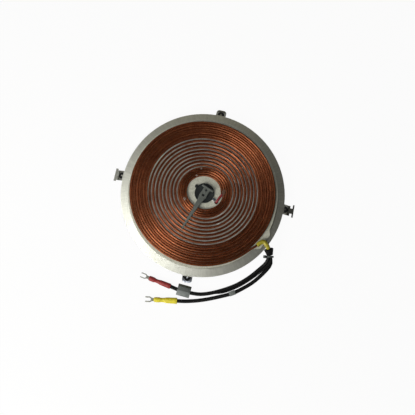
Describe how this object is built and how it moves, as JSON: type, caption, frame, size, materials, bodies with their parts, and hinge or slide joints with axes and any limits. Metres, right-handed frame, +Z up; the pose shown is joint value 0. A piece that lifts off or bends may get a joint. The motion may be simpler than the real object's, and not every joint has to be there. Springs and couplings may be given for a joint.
{
  "type": "induction coil",
  "caption": "Flat spiral induction heating coil of litz wire on a round carrier plate with bent legs, centre sensor, power leads with fork terminals and a plugged sensor lead.",
  "frame": {"origin": "under the middle of the round carrier plate, on the surface its four bent legs stand on", "axes": "+Z up out of the coil's face, -Y towards the loose leads, +X towards the lead exit's side"},
  "size_m": [0.2667, 0.286, 0.0217],
  "materials": {
    "aluminium_sheet": "brushed sheet",
    "black_rubber": "matt",
    "ferrite": "dark sintered ferrite",
    "mica": "pressed mica paper, satin",
    "enamelled_copper": "enamelled copper strands",
    "glass_cord": "grey twisted cord",
    "grey_leaf": "satin grey",
    "bead_glass": "opaque glass bead",
    "red_sleeve": "satin",
    "yellow_sleeve": "varnished woven sleeve",
    "blue_wire": "satin",
    "white_wire": "satin",
    "glue": "dried glue",
    "black_cable": "satin",
    "grey_nylon": "satin",
    "contact_brass": "bright",
    "tinned_copper": "bright tin",
    "red_cover": "satin",
    "yellow_cover": "satin"
  },
  "bodies": {
    "coil_unit": {"cable_tie": "grey_nylon", "cable_tie_head": "grey_nylon", "carrier_plate": "aluminium_sheet", "connector_contact_1": "contact_brass", "connector_contact_2": "contact_brass", "connector_housing": "grey_nylon", "ferrite_bar_1": "ferrite", "ferrite_bar_2": "ferrite", "ferrite_bar_3": "ferrite", "ferrite_bar_4": "ferrite", "ferrite_bar_5": "ferrite", "ferrite_bar_6": "ferrite", "ferrite_bar_7": "ferrite", "ferrite_bar_8": "ferrite", "glue_dot_1": "glue", "glue_dot_2": "glue", "glue_dot_3": "glue", "inner_end_run": "enamelled_copper", "inner_end_sleeve": "red_sleeve", "lead_a": "black_cable", "lead_b": "black_cable", "lead_boot": "black_cable", "lead_clip": "grey_nylon", "leg_bush_bottom": "black_rubber", "leg_bush_left": "black_rubber", "leg_bush_right": "black_rubber", "leg_bush_top": "black_rubber", "litz_winding": "enamelled_copper", "mica_sheet": "mica", "outer_end_sleeve": "yellow_sleeve", "red_fork": "tinned_copper", "red_terminal_sleeve": "red_cover", "sensor_cable": "black_cable", "sensor_cable_run": "black_cable", "sensor_holder": "black_rubber", "sensor_wire_blue": "blue_wire", "sensor_wire_white": "white_wire", "spacer_cord": "glass_cord", "thermistor_bead": "bead_glass", "yellow_fork": "tinned_copper", "yellow_terminal_sleeve": "yellow_cover"},
    "sensor_leaf": {"sensor_leaf": "grey_leaf"}
  },
  "joints": [
    {"name": "sensor_leaf_lift", "type": "hinge", "parent": "coil_unit", "child": "sensor_leaf", "pos_m": [0.0071, 0.0089, 0.0202], "axis": [-0.8434, 0.5373, 0], "range_deg": [0, 6], "stiffness_Nm_per_rad": 0.05}
  ]
}
